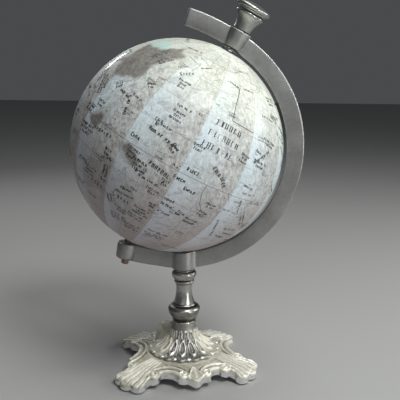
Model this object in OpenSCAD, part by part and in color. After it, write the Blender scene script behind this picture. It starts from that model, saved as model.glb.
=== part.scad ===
// Small desk globe on a cast column stand.
// Frame: millimetres, +Z up, the table at Z = 0, the stand's front towards -Y.
// The arm lies in the XZ plane; the ball's axis leans towards +X inside that plane.

/* [Globe] */
// Diameter of the finished ball
globe_d = 152; // [144:1:156]
// Lean of the ball's axis from upright, degrees
tilt = 29; // [26:0.5:31]
// Height of the ball's centre above the table
globe_h = 167.8; // [166:0.1:176]
// How far the ball's centre stands to the left of the column
globe_shift = 5.1; // [4:0.1:6]
// Wall of the two half shells
shell_t = 1.8; // [1.2:0.1:2.4]
// Thickness of one printed and varnished paper gore
paper_t = 0.3; // [0.2:0.05:0.4]
// Number of paper gores around the ball
gore_n = 12; // [8, 10, 12]
// Turn of the printed gores about the ball's axis, degrees
gore_turn = 10.3; // [0:0.1:29.9]
// Latitude at which the gores end and the round pole papers begin, degrees
gore_lat = 80; // [76:1:82]

/* [Arm] */
// Gap between the ball and the inner edge of the arm
arm_gap = 2; // [1.8:0.1:2.4]
// Width of the arm's flat bar, measured outwards from the ball
arm_w = 12.5; // [11.5:0.5:13]
// Thickness of the arm's flat bar
arm_t = 6; // [5:0.5:7]
// Chamfer along the long edges of the arm
arm_edge = 0.7; // [0.4:0.1:1]
// Diameter of the round post boss under the arm
post_boss_d = 16; // [15:0.5:17]
// Diameter of the round boss at the lower end of the arm
low_boss_d = 15; // [14:0.5:16]
// Lean of the lower boss and its pivot screw from upright, degrees
low_lean = 9; // [6:0.5:12]

/* [Column] */
// Diameter of the rod that ties the stand together
rod_d = 6; // [5:0.5:7]
// Narrowest diameter of the turned shaft
waist_d = 11.7; // [11:0.1:13]
// Widest diameter of the lower bulb
bulb_d = 24.1; // [22:0.1:26]
// Widest diameter of the small bulb under the arm
head_d = 18.5; // [17.5:0.1:19.5]

/* [Base] */
// Outer radius of the petal skirt
skirt_r = 26; // [25:0.5:27]
// Number of petals around the skirt
petal_n = 15; // [12:1:16]
// Length of the longest foot, measured from the column
foot_len = 62; // [60:0.5:64]
// Reach of the pointed lobes in the middle of the two long sides
lobe_len = 49; // [47:0.5:51]
// Radius of the round bays between feet and lobes
bay_r = 11.5; // [10.4:0.1:12.4]
// Radius of the wide bay in each short side
side_bay_r = 17.5; // [16:0.5:18.5]
// Thickness of the felt pads
pad_t = 1; // [0.8:0.1:1.2]

/* [Finial] */
// Diameter of the finial's top disc
disc_d = 25; // [23:0.5:27]
// Height of the finial above the arm
finial_h = 20.6; // [19:0.1:23]
// Diameter of the north pivot pin
pin_d = 4; // [3.5:0.1:4.5]

/* [Hidden] */
$fn = 64;
fit = 0.05;                                 // radial running clearance of pins and screws
gap = 0.3;                                  // free gap between pieces that move past each other
r_ball = globe_d / 2;
arm_in = r_ball + arm_gap;
arm_out = arm_in + arm_w;
gx = -(arm_out - r_ball) / 2;               // the ball's centre; the outline's box is centred on X = 0
gz = globe_h;
cx = gx + globe_shift;                      // the column's axis
shell_r = r_ball - paper_t;
shell_in = shell_r - shell_t;
post_z = gz - arm_out - 0.8;                // underside of the post boss
head_top = post_z - gap;
head_z = head_top - 7.9;                    // heights of the column's grooves, upwards
bulb_top = 48.5;
bulb_z = 36.6;
ring_z = 34.4;
plate_z = 12.8;                             // flat top of the plate, under the skirt
foot_a = [233, 340, 62, 145];               // directions of the four cast feet
foot_l = [foot_len, foot_len - 3, foot_len - 7, foot_len - 1];
lobe_a = [289, 104];                        // directions of the two pointed lobes
bay_a = [262, 311.5, 83, 125];              // of the round bays beside them
side_a = [16, 186];                         // and of the wide bays in the short sides
up_a = 50;                                  // where the arm's upper end starts to open out
low_a = -95;                                // and its lower end
up_r = arm_in + 52;                         // inner radii of those flatter ends
low_r = arm_in + 190;
tip_b = r_ball - 1.2;                       // depth of the pivot ball inside the ball's south pole

module on_axis() translate([gx, 0, gz]) rotate([0, tilt, 0]) children();
module on_column(z = 0) translate([cx, 0, z]) children();
// frame of the lower pivot screw: origin at the centre of its ball tip, Z along the screw
module on_screw()
    translate([gx - tip_b * sin(tilt), 0, gz - tip_b * cos(tilt)]) rotate([0, low_lean, 0]) children();
module turned(z = 0) on_column(z) rotate_extrude() children();
module tube(r1, r0, z0, z1)
    translate([0, 0, z0]) difference() { cylinder(h = z1 - z0, r = r1);
        translate([0, 0, -1]) cylinder(h = z1 - z0 + 2, r = r0); }
// radius of the arc that leaves a vertical tangent and is d further out after a rise of h
function sweep_r(d, h) = (d * d + h * h) / (2 * d);

// ---------- base ----------

module toe(a, l) rotate(a) {                // a foot ends in three toes, with a scroll on each shoulder
    translate([l - 5.5, 0]) circle(5.5);
    for (s = [-1, 1]) {
        translate([l - 7.6, s * 8.4]) circle(5.2);
        translate([l - 20, s * 11.6]) circle(4.4);
    }
    translate([l - 22, -11.6]) square([14, 23.2]);
}
module neck(a, l, w) rotate(a) translate([0, -w / 2]) square([l, w]);
module lobe(a) rotate(a) {
    translate([lobe_len - 6.7, 0]) rotate(45) square(9.4, center = true);
    for (s = [-1, 1]) translate([lobe_len - 9.6, s * 8.4]) circle(3.7);
}
module base_outline() {
    difference() {
        union() {
            circle(43.5);
            for (i = [0:3]) neck(foot_a[i], foot_l[i] - 12, 24);
            for (a = lobe_a) neck(a, lobe_len - 9, 17);
        }
        // round bays beside the lobes, and a wide one in each short side
        for (a = bay_a) rotate(a) translate([50.5, 0]) circle(bay_r);
        for (a = side_a) rotate(a) translate([52.5, 0]) circle(side_bay_r);
    }
    for (i = [0:3]) toe(foot_a[i], foot_l[i]);
    for (a = lobe_a) lobe(a);
}
module base_plate() color([0.78, 0.76, 0.68]) on_column() difference() {
    union() {
        difference() {
            union() {
                intersection() {
                    translate([0, 0, pad_t]) linear_extrude(plate_z - pad_t) base_outline();
                    translate([0, 0, -184.9]) sphere(199.5, $fn = 256);       // shallow dome, falling to the feet
                }
                for (i = [0:3]) rotate(foot_a[i]) for (s = [-1, 0, 1])        // ribs running out to the toes
                    translate([28.6, s * 4.4, 12.2]) rotate([0, 90 + 14, s * 6])
                        cylinder(h = foot_l[i] - 36, r1 = 2.1, r2 = 1.5);
                for (a = lobe_a) rotate(a) translate([31, 0, 11.2]) rotate([0, 90 + 16, 0])
                    cylinder(h = lobe_len - 36, r1 = 3.4, r2 = 1.2);
            }
            translate([0, 0, -140.3]) sphere(150.9, $fn = 256);               // hollow underside
        }
        for (i = [0:3]) rotate(foot_a[i]) translate([foot_l[i] - 9, 0, pad_t])  // seats for the felt pads
            cylinder(h = 4, r = 4.6);
    }
    translate([0, 0, -2]) cylinder(h = 40, d = rod_d + 0.8);
}
module foot_pads() color([0.12, 0.16, 0.13]) on_column()
    for (i = [0:3]) rotate(foot_a[i]) translate([foot_l[i] - 9, 0, 0]) cylinder(h = pad_t, r = 4.4);
module petal_skirt() color([0.52, 0.52, 0.50]) {
    rho = sweep_r(skirt_r - 8.8, 19.4);
    on_column() difference() {
        union() {
            rotate_extrude() difference() {
                translate([3, 12.9]) square([skirt_r - 3, ring_z - 12.9]);
                translate([8.8 + rho, 34.4]) circle(rho);
                translate([0, 10]) square([skirt_r - 5, 4.2]);
            }
            for (k = [0:petal_n - 1]) rotate(273 + k * 360 / petal_n) {       // teardrops and rim beads
                translate([skirt_r - 4.4, 0, 16.6]) rotate([0, -47, 0]) cylinder(h = 9.5, r1 = 2.1, r2 = 0.7);
                translate([skirt_r - 4.4, 0, 16.6]) sphere(2.1);
                rotate(180 / petal_n) translate([skirt_r - 0.6, 0, 14.8]) sphere(1.5);
            }
        }
        translate([0, 0, 5]) cylinder(h = 40, d = rod_d + 0.8);
    }
}
module base_washer() color([0.62, 0.62, 0.60]) on_column()
    tube(8.5, rod_d / 2 + 0.4, 8.7, 10.3);
module base_nut() color([0.55, 0.55, 0.53]) on_column() difference() {
    translate([0, 0, 4.1]) cylinder(h = 4.6, d = 11.4, $fn = 6);
    translate([0, 0, 1]) cylinder(h = 10, d = rod_d);
}
module tie_rod() color([0.60, 0.60, 0.58]) on_column(3)
    cylinder(h = post_z + 8 - 3, d = rod_d);

// ---------- column ----------

module column_ring() color([0.55, 0.55, 0.53]) turned() difference() {
    union() {
        translate([rod_d / 2 + 0.4, ring_z]) square([8.2 - rod_d / 2 - 0.4, bulb_z - ring_z]);
        translate([8, (ring_z + bulb_z) / 2]) circle((bulb_z - ring_z) / 2);
    }
    translate([-20, 0]) square([20 + rod_d / 2 + 0.4, 80]);
}
module column_bulb() color([0.55, 0.55, 0.53]) turned() difference() {
    union() {
        translate([bulb_d / 2 - 4.2, bulb_top - 4.2]) circle(4.2);
        polygon([[3, bulb_z], [8.7, bulb_z], [bulb_d / 2 - 0.7, bulb_top - 6.4],
                 [bulb_d / 2 - 1.2, bulb_top - 2], [9.1, bulb_top], [3, bulb_top]]);
    }
    translate([-20, 0]) square([20 + rod_d / 2 + 0.4, 80]);
}
module column_shaft() color([0.55, 0.55, 0.53]) {
    mid = bulb_top + (head_z - bulb_top) * 0.6;
    rho = sweep_r(8.9 - waist_d / 2, mid - bulb_top);
    turned() difference() {
        union() {
            difference() {
                translate([3, bulb_top]) square([6, head_z - bulb_top]);
                translate([waist_d / 2 + rho, mid]) circle(rho);
            }
            translate([6.3, head_z - 1.3]) circle(1);
        }
        translate([-20, 0]) square([20 + rod_d / 2 + 0.4, 90]);
    }
}
module column_head() color([0.55, 0.55, 0.53]) turned() difference() {
    union() {
        translate([3, head_z]) square([4.3, head_top - head_z]);
        intersection() {
            translate([head_d / 2 - 4.3, head_z + 4.1]) circle(4.3);
            translate([3, head_z]) square([12, head_top - head_z]);
        }
        translate([3, head_top - 0.9]) square([4.9, 0.9]);
    }
    translate([-20, 0]) square([20 + rod_d / 2 + 0.4, 100]);
}

// ---------- arm ----------

module bar_section(r0) {
    e = arm_edge; w = arm_w; t = arm_t / 2;
    translate([r0, 0]) polygon([[e, -t], [w - e, -t], [w, e - t], [w, t - e],
                                [w - e, t], [e, t], [0, t - e], [0, e - t]]);
}
// bar swept about a point of the XZ plane, from angle a0 over a degrees
module bar(px, pz, r0, a0, a)
    translate([px, 0, pz]) rotate([90, 0, 0]) rotate(a0) rotate_extrude(angle = a, $fn = 128) bar_section(r0);
module arm() color([0.50, 0.51, 0.51]) {
    ux = gx - 52 * cos(up_a); uz = gz - 52 * sin(up_a);
    lx = gx - 190 * cos(low_a); lz = gz - 190 * sin(low_a);
    difference() {
        union() {
            bar(gx, gz, arm_in, low_a, up_a - low_a);
            difference() {
                bar(ux, uz, up_r, up_a, 23);
                // eased corners of the upper tip
                translate([ux, 0, uz]) rotate([0, -(up_a + 23), 0]) for (s = [0, 1])
                    translate([up_r + s * arm_w, 0, 0]) rotate([0, 45, 0]) cube([2.4, 20, 2.4], center = true);
            }
            bar(lx, lz, low_r, low_a - 6.7, 6.7);
            for (a = [up_a, low_a])                                          // webs inside the two joins of the bar
                translate([gx + (arm_in + arm_w / 2) * cos(a), 0, gz + (arm_in + arm_w / 2) * sin(a)])
                    rotate([90, 0, 0]) cylinder(h = arm_t - 2, r = 3, center = true);
            on_screw() rotate_extrude() difference() {                       // lower boss
                translate([0, -19.4]) square([low_boss_d / 2, 12]);
                translate([low_boss_d / 2, -19.4]) rotate(45) square(2.2, center = true);
                translate([low_boss_d / 2, -7.4]) rotate(45) square(1.2, center = true);
            }
            difference() {                                                   // post boss
                turned() difference() {
                    translate([0, post_z]) square([post_boss_d / 2, arm_w + 4]);
                    translate([post_boss_d / 2, post_z]) rotate(45) square(1.4, center = true);
                }
                translate([gx, 0, gz]) sphere(arm_in, $fn = 128);
            }
            on_axis() translate([0, 0, arm_in + 1.6]) cylinder(h = arm_w - 0.1, r1 = 6.8, r2 = 8.5);   // upper boss
        }
        on_axis() translate([0, 0, arm_in - 4]) cylinder(h = arm_w + 12, r = pin_d / 2 + fit);
        on_screw() translate([0, 0, -30]) cylinder(h = 30, r = 2.6 + fit);
        on_screw() translate([0, 0, -30]) cylinder(h = 10.6, r = 3.3);       // room for the screw's head
        on_column(post_z - 2) cylinder(h = 10.6, r = rod_d / 2 + fit);
    }
}
module south_screw() color([0.45, 0.36, 0.33]) on_screw() difference() {
    union() {
        sphere(2.2);
        translate([0, 0, -5]) cylinder(h = 4, r = 1);
        translate([0, 0, -19.8]) cylinder(h = 15.6, r = 2.6);
        translate([0, 0, -23.2]) cylinder(h = 3.5, r = 2.85);
        translate([0, 0, -24]) cylinder(h = 0.8, r1 = 2.2, r2 = 2.85);
    }
    translate([0, 0, -24]) cube([8, 0.8, 1.6], center = true);
}

// ---------- ball ----------

module shell_half(up) on_axis() intersection() {
    difference() {
        sphere(shell_r, $fn = 128);
        sphere(shell_in, $fn = 128);
        translate([0, 0, -100]) cylinder(h = 200, r = up ? 3.2 : 3.6);
    }
    translate([0, 0, up ? 50 : -50]) cube([200, 200, 100], center = true);
}
module globe_north() color([0.60, 0.57, 0.52]) shell_half(true);
module globe_south() color([0.58, 0.55, 0.50]) shell_half(false);
module joint_band() color([0.50, 0.44, 0.36]) on_axis() rotate_extrude() difference() {
    translate([shell_in - 4, -7]) square([6, 14]);
    difference() { translate([0, -20]) square([120, 40]); circle(shell_in, $fn = 128); }
    translate([-1, -20]) square([shell_in - 1.6, 40]);
}
// outer skin between two latitudes, as a half section
module skin(lat0, lat1) intersection() {
    difference() { circle(r_ball, $fn = 128); circle(shell_r, $fn = 128); }
    polygon([[0, 0], 120 * [cos(lat0), sin(lat0)], [170 * cos((lat0 + lat1) / 2), 170 * sin((lat0 + lat1) / 2)],
             120 * [cos(lat1), sin(lat1)]]);
}
module gores() color([0.70, 0.70, 0.66]) on_axis()
    for (k = [0:gore_n - 1]) rotate(gore_turn + k * 360 / gore_n + 0.03)
        rotate_extrude(angle = 360 / gore_n - 0.06) skin(-gore_lat, gore_lat);
module pole_papers() color([0.74, 0.73, 0.68]) on_axis() for (s = [0, 1]) mirror([0, 0, s])
    rotate_extrude() difference() {
        intersection() {
            difference() { circle(r_ball, $fn = 128); circle(shell_r, $fn = 128); }
            polygon([[0, 0], 90 * [cos(gore_lat + 0.1), sin(gore_lat + 0.1)], [0, 90]]);
        }
        translate([-1, 0]) square([1 + (s == 0 ? 3.3 : 3.7), 120]);
    }
module north_bush() color([0.66, 0.56, 0.34]) on_axis() {
    tube(3.2, pin_d / 2 + 0.06, r_ball - 6, r_ball + 1.4);
    tube(4.6, pin_d / 2 + 0.06, r_ball + 1.3, r_ball + 1.65);
}
module south_bush() color([0.66, 0.56, 0.34]) on_axis() {
    tube(3.6, 2.26, -r_ball - 0.4, -r_ball + 6);
    tube(5.4, 2.26, -r_ball - 0.9, -r_ball - 0.1);
}
module pole_washer() color([0.08, 0.10, 0.15]) on_axis() difference() {
    union() {
        translate([0, 0, r_ball - 0.6]) cylinder(h = 1.4, r = 7.4);
        translate([0, 0, r_ball + 0.8]) cylinder(h = 0.5, r1 = 7.4, r2 = 6.8);
    }
    sphere(r_ball + 0.02, $fn = 128);
    cylinder(h = 120, r = 3.2);
}
module north_spacer() color([0.85, 0.85, 0.82]) on_axis()
    tube(2.95, pin_d / 2 + 0.06, r_ball - 8.4, r_ball - 6.05);

// ---------- finial ----------

knob_z = arm_in + 1.6 + arm_w - 0.1 + gap;  // first free plane above the upper boss, along the axis
module knob_washer() color([0.15, 0.15, 0.15]) on_axis() tube(6, pin_d / 2, knob_z, knob_z + 0.6);
module finial_knob() color([0.60, 0.60, 0.58]) on_axis() translate([0, 0, knob_z + 0.6]) {
    h = finial_h * 0.6;
    rho = sweep_r(disc_d * 0.4 - 6.2, h);
    rotate_extrude() difference() {
        union() {
            difference() {
                square([disc_d * 0.4, h]);
                translate([6.2 + rho, 0]) circle(rho);
            }
            square([6.4, 1]);
            translate([disc_d * 0.4 - 0.9, h - 0.1]) circle(1);
        }
        translate([-10, -1]) square([10 + pin_d / 2, h]);
        translate([-10, -5]) square([60, 5]);
    }
}
module finial_cap() color([0.66, 0.66, 0.64]) on_axis() translate([0, 0, knob_z + 0.6 + finial_h * 0.6 + 0.9])
    rotate_extrude() union() {
        square([disc_d * 0.42, 1.6]);
        translate([0, 1.4]) square([disc_d / 2 - 0.9, finial_h * 0.17]);
        translate([disc_d / 2 - 1.4, 1.4 + finial_h * 0.085]) circle(finial_h * 0.085);
        polygon([[0, 1.4 + finial_h * 0.17], [disc_d * 0.46, 1.4 + finial_h * 0.17], [disc_d * 0.30, 2.6 + finial_h * 0.17],
                 [0, 3 + finial_h * 0.17]]);
    }
module north_pin() color([0.62, 0.62, 0.60]) on_axis() {
    translate([0, 0, r_ball - 9.6]) cylinder(h = knob_z + 8 - r_ball + 9.6, d = pin_d);
    translate([0, 0, r_ball - 10.4]) cylinder(h = 0.8, d1 = pin_d - 1.4, d2 = pin_d);
}

// ---------- nodes ----------

base_plate();
foot_pads();
petal_skirt();
column_ring();
column_bulb();
column_shaft();
column_head();
tie_rod();
base_washer();
base_nut();
arm();
south_screw();
globe_north();
globe_south();
joint_band();
gores();
pole_papers();
north_bush();
south_bush();
pole_washer();
north_spacer();
finial_knob();
finial_cap();
knob_washer();
north_pin();
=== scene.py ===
import bpy, math, random
import numpy as np
from mathutils import Matrix, Vector


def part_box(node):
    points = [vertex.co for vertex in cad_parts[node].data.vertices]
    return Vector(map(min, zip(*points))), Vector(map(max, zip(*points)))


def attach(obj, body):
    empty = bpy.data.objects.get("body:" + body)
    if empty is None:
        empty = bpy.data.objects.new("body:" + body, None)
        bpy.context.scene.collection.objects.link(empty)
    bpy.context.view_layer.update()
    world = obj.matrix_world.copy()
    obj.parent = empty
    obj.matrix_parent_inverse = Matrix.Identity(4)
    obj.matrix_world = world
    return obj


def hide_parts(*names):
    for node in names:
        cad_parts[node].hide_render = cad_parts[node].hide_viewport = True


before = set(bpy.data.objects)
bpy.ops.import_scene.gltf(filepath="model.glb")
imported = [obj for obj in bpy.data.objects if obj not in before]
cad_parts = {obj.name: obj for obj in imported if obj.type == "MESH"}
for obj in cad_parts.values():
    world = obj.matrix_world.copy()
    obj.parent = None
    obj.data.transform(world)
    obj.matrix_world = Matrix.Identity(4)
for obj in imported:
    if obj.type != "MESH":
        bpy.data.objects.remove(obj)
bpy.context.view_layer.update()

MM = 0.001
rng = random.Random(20)

# Places from the CAD frame, in millimetres
lo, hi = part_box("gores")
GLOBE = np.array((lo + hi) / 2) / MM          # the ball's centre
lo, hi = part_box("column_bulb")
COLUMN_X = (lo.x + hi.x) / 2 / MM             # the column's axis
TILT = math.radians(29)                       # lean of the ball's axis towards +X
R = 76.0                                      # the finished ball
axis_frame = Matrix.Translation(Vector(GLOBE)) @ Matrix.Rotation(TILT, 4, "Y")
column_frame = Matrix.Translation((COLUMN_X, 0, 0))
BORE = 3.4                                    # hole for the tie rod
PIVOT_DEPTH = 74.8                            # of the pivot screw's ball, along the ball's axis
lean = Vector((math.sin(TILT), 0, math.cos(TILT)))
pivot = Vector(GLOBE) - PIVOT_DEPTH * lean
screw_frame = Matrix.Translation(pivot) @ Matrix.Rotation(math.radians(9), 4, "Y")


# ---------------------------------------------------------------- node materials

class Value:
    """A node's output, with which a material's code can calculate as with a number."""

    def __init__(self, shader, socket):
        self.shader, self.socket = shader, socket

    def __add__(self, other):
        return self.shader.math("ADD", self, other)

    def __sub__(self, other):
        return self.shader.math("SUBTRACT", self, other)

    def __mul__(self, other):
        return self.shader.math("MULTIPLY", self, other)


class Shader:
    """A Principled material built from nodes; links are made with numbers, colours or Values."""

    def __init__(self, name, **constants):
        self.mat = bpy.data.materials.new(name)
        self.mat.use_nodes = True
        self.tree = self.mat.node_tree
        self.tree.nodes.clear()
        self.bsdf = self.tree.nodes.new("ShaderNodeBsdfPrincipled")
        out = self.tree.nodes.new("ShaderNodeOutputMaterial")
        self.tree.links.new(self.bsdf.outputs[0], out.inputs[0])
        self.set(**constants)

    def node(self, kind, inputs=None, **settings):
        n = self.tree.nodes.new("ShaderNode" + kind)
        for key, value in settings.items():
            setattr(n, key, value)
        for key, value in (inputs or {}).items():
            self.put(n.inputs[key], value)
        return n

    def put(self, socket, value):
        if isinstance(value, Value):
            self.tree.links.new(value.socket, socket)
        elif hasattr(socket.default_value, "__len__") and len(socket.default_value) == 4:
            socket.default_value = (*value, 1)
        else:
            socket.default_value = value

    def set(self, **inputs):
        for key, value in inputs.items():
            self.put(self.bsdf.inputs[key.replace("_", " ")], value)

    def math(self, operation, *values, clamp=False):
        n = self.node("Math", operation=operation, use_clamp=clamp)
        for socket, value in zip(n.inputs, values):
            self.put(socket, value)
        return Value(self, n.outputs[0])

    def clamp(self, value):
        return self.math("ADD", value, 0.0, clamp=True)

    def ramp(self, factor, *stops):
        n = self.node("ValToRGB", {"Fac": factor})
        while len(n.color_ramp.elements) < len(stops):
            n.color_ramp.elements.new(0.5)
        for element, (place, colour) in zip(n.color_ramp.elements, stops):
            element.position = place
            element.color = (*colour, 1) if hasattr(colour, "__len__") else (colour, colour, colour, 1)
        return Value(self, n.outputs[0])

    def mix(self, factor, a, b):
        n = self.node("Mix", data_type="RGBA")
        self.put(n.inputs["Factor"], factor)
        self.put(n.inputs[6], a)
        self.put(n.inputs[7], b)
        return Value(self, n.outputs[2])

    def place(self):
        return Value(self, self.node("TexCoord").outputs["Object"])

    def noise(self, scale, detail=3.0, stretch=(1, 1, 1), roughness=0.5, offset=0.0):
        moved = self.node("Mapping", {"Vector": self.place(), "Scale": stretch,
                                      "Location": (offset, offset * 0.7, offset * 1.3)})
        n = self.node("TexNoise", {"Vector": Value(self, moved.outputs[0]), "Scale": scale,
                                   "Detail": detail, "Roughness": roughness})
        return Value(self, n.outputs["Fac"])

    def attribute(self, name):
        return Value(self, self.node("Attribute", attribute_name=name).outputs["Fac"])

    def bump(self, height, strength, distance):
        n = self.node("Bump", {"Height": height, "Strength": strength, "Distance": distance})
        self.set(Normal=Value(self, n.outputs[0]))


def cast_metal(name, low, mid, high, rough, tarnish=0.5, pit=0.00006, chalk=False):
    """Antique cast metal: dark in its hollows, bright on its worn ridges, with casting grain."""
    s = Shader(name, Metallic=1.0)
    fine = s.noise(900, 3, roughness=0.6)
    worn = s.attribute("wear") + (s.noise(55, 4, offset=3) - 0.5) * tarnish
    level = s.clamp(worn + (fine - 0.5) * 0.12)
    colour = s.ramp(level, (0.05, low), (0.5, mid), (0.95, high))
    polish = level * (rough[0] - rough[1]) + rough[1]
    if chalk:                                                   # painted reflection: cream like the plate below it, where the skirt's sides and leaf reflect bright light
        white = s.attribute("chalk")
        cream = s.ramp(level, (0.05, (0.20, 0.185, 0.145)), (0.42, (0.50, 0.48, 0.40)),
                       (0.9, (0.80, 0.79, 0.70)))
        colour = s.mix(white, colour, cream)
        polish = white * 0.15 + polish
        s.set(Metallic=white * -0.65 + 1.0)
    s.set(Base_Color=colour, Roughness=polish)
    s.bump(fine * 0.6 + s.noise(260, 3, offset=9), 0.55, pit)
    return s.mat


def brushed_metal(name, base, tint, stretch=(1, 1, 1), rough=0.36, line=0.00003):
    """Satin metal with fine rubbing marks and a faint cloudy film."""
    s = Shader(name, Metallic=1.0)
    cloud = s.noise(38, 4, offset=5)
    lines = s.noise(420, 4, stretch=stretch, roughness=0.65)
    film = s.ramp(cloud * 0.6 + lines * 0.4, (0.3, 0.0), (0.72, 1.0))
    s.set(Base_Color=s.mix(film, base, tint),
          Roughness=(cloud - 0.5) * 0.22 + (lines * 0.12 + (rough - 0.06)))
    s.bump(lines + s.noise(1500, 2, offset=2) * 0.35, 0.5, line)
    return s.mat


def plain_stuff(name, dark, light, scale, rough, distance=0.00008, stretch=(1, 1, 1), **constants):
    """Cloudy two-tone material with a fine grain."""
    s = Shader(name, **constants)
    cloud = s.noise(scale, 4, stretch=stretch)
    fine = s.noise(scale * 7, 3, offset=4)
    s.set(Base_Color=s.mix(s.ramp(cloud, (0.3, 0.0), (0.7, 1.0)), dark, light),
          Roughness=fine * 0.16 + (rough - 0.08))
    s.bump(fine + cloud, 0.4, distance)
    return s.mat


def plate_metal():
    """Cast metal with cream upper faces, dirt in its creases, and barer metal on the edges."""
    s = Shader("cream_pewter")
    fine = s.noise(850, 3, roughness=0.6)
    dirt = s.noise(330, 5, offset=15, roughness=0.7)
    worn = (s.noise(60, 4, offset=3) - 0.5) * 0.5 + s.attribute("wear")
    level = s.clamp((fine - 0.5) * 0.15 + ((dirt - 0.5) * 0.75 + worn))
    top = s.ramp(level, (0.10, (0.14, 0.128, 0.098)), (0.38, (0.40, 0.38, 0.305)),
                 (0.64, (0.60, 0.58, 0.48)), (0.95, (0.84, 0.83, 0.74)))
    bare = s.ramp(level, (0.2, (0.24, 0.24, 0.235)), (0.7, (0.95, 0.95, 0.95)))
    side = s.attribute("side")
    s.set(Base_Color=s.mix(side, top, bare), Metallic=side * 0.60 + 0.34,
          Roughness=level * -0.22 + (side * -0.26 + 0.62))
    s.bump(fine * 0.4 + (dirt + s.noise(240, 4, offset=9)), 0.6, 0.00018)
    return s.mat


# ---------------------------------------------------------------- mesh helpers

def piece(name, verts, faces, body, slot, material, nodes=(), place=None, smooth=True, sharp=None,
          **attributes):
    """A mesh in millimetres, put where place says, riding on a CAD body."""
    verts = np.asarray(verts, float)
    if place is not None:
        verts = verts @ np.array(place.to_3x3()).T + np.array(place.translation)
    mesh = bpy.data.meshes.new(name)
    mesh.from_pydata((verts * MM).tolist(), [], [list(map(int, f)) for f in faces])
    for key, values in attributes.items():
        mesh.attributes.new(key, "FLOAT", "POINT").data.foreach_set("value", np.asarray(values, np.float32))
    mesh.polygons.foreach_set("use_smooth", [smooth] * len(mesh.polygons))
    mesh.update()
    if sharp:
        mesh.set_sharp_from_angle(angle=math.radians(sharp))
    mesh.materials.append(material)
    obj = bpy.data.objects.new(name, mesh)
    bpy.context.scene.collection.objects.link(obj)
    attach(obj, body)
    if nodes:
        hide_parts(*nodes)


def fillets(corners, closed=True, steps=5):
    """Outline through corners (x, y, radius), where each corner with a radius becomes an arc."""
    out = []
    n = len(corners)
    for i, (x, y, r) in enumerate(corners):
        if r <= 0 or (not closed and i in (0, n - 1)):
            out.append((x, y))
            continue
        p = np.array((x, y), float)
        a = np.array(corners[i - 1][:2], float) - p
        b = np.array(corners[(i + 1) % n][:2], float) - p
        la, lb = np.linalg.norm(a), np.linalg.norm(b)
        a, b = a / la, b / lb
        half = math.acos(max(-1, min(1, float(a @ b)))) / 2
        reach = min(r / math.tan(half), la * 0.49, lb * 0.49)
        r = reach * math.tan(half)
        centre = p + (a + b) / np.linalg.norm(a + b) * (r / math.sin(half))
        s, e = p + a * reach - centre, p + b * reach - centre
        turn = math.atan2(s[0] * e[1] - s[1] * e[0], s @ e)
        for k in range(steps + 1):
            c, d = math.cos(turn * k / steps), math.sin(turn * k / steps)
            out.append(tuple(centre + (s[0] * c - s[1] * d, s[0] * d + s[1] * c)))
    return out


def spline(points, per=6):
    """Smooth curve through points (Catmull-Rom), ends included."""
    p = np.array([points[0], *points, points[-1]], float)
    p[0] = 2 * p[1] - p[2]
    p[-1] = 2 * p[-2] - p[-3]
    out = []
    for i in range(1, len(p) - 2):
        for k in range(per):
            t = k / per
            before, here, there, after = p[i - 1:i + 3]
            bend = 2 * before - 5 * here + 4 * there - after
            twist = 3 * here - before - 3 * there + after
            out.append(0.5 * (2 * here + (there - before) * t + bend * t * t + twist * t ** 3))
    return [tuple(q) for q in out] + [tuple(p[-2])]


def lathe(outline, turns=96, wobble=0.0, seed=0):
    """Closed outline (radius, height) turned about Z; a point on the axis becomes a pole.

    The wobble, in mm, is a gentle unevenness of the turned surface, different for each seed.
    """
    outline = [q for i, q in enumerate(outline) if i == 0 or math.dist(q, outline[i - 1]) > 1e-4]
    verts, rows = [], []
    for j, (r, z) in enumerate(outline):
        if r < 1e-6:
            rows.append([len(verts)] * turns)
            verts.append((0, 0, z))
            continue
        rows.append(list(range(len(verts), len(verts) + turns)))
        for k in range(turns):
            a = 2 * math.pi * k / turns
            wave = math.sin(3 * a + seed + z * 0.35) + 0.6 * math.sin(5 * a - seed * 2 - z * 0.8)
            d = wobble * wave if r > 4 else 0                   # the bore stays true
            verts.append(((r + d) * math.cos(a), (r + d) * math.sin(a), z))
    faces = []
    on_axis = outline[0][0] < 1e-6 and outline[-1][0] < 1e-6
    for j in range(len(rows) - (1 if on_axis else 0)):
        a, b = rows[j], rows[(j + 1) % len(rows)]
        for k in range(turns):
            m = (k + 1) % turns
            f = list(dict.fromkeys((a[k], a[m], b[m], b[k])))
            if len(f) > 2:
                faces.append(f)
    return np.array(verts), faces


def hoop(rings, around):
    """Quads between equal rings of points, where the last ring joins the first."""
    k = np.arange(around)
    m = (k + 1) % around
    starts = [j * around for j in range(rings)]
    return np.concatenate([np.stack([a + k, a + m, b + m, b + k], 1)
                           for a, b in zip(starts, starts[1:] + starts[:1])])


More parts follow.
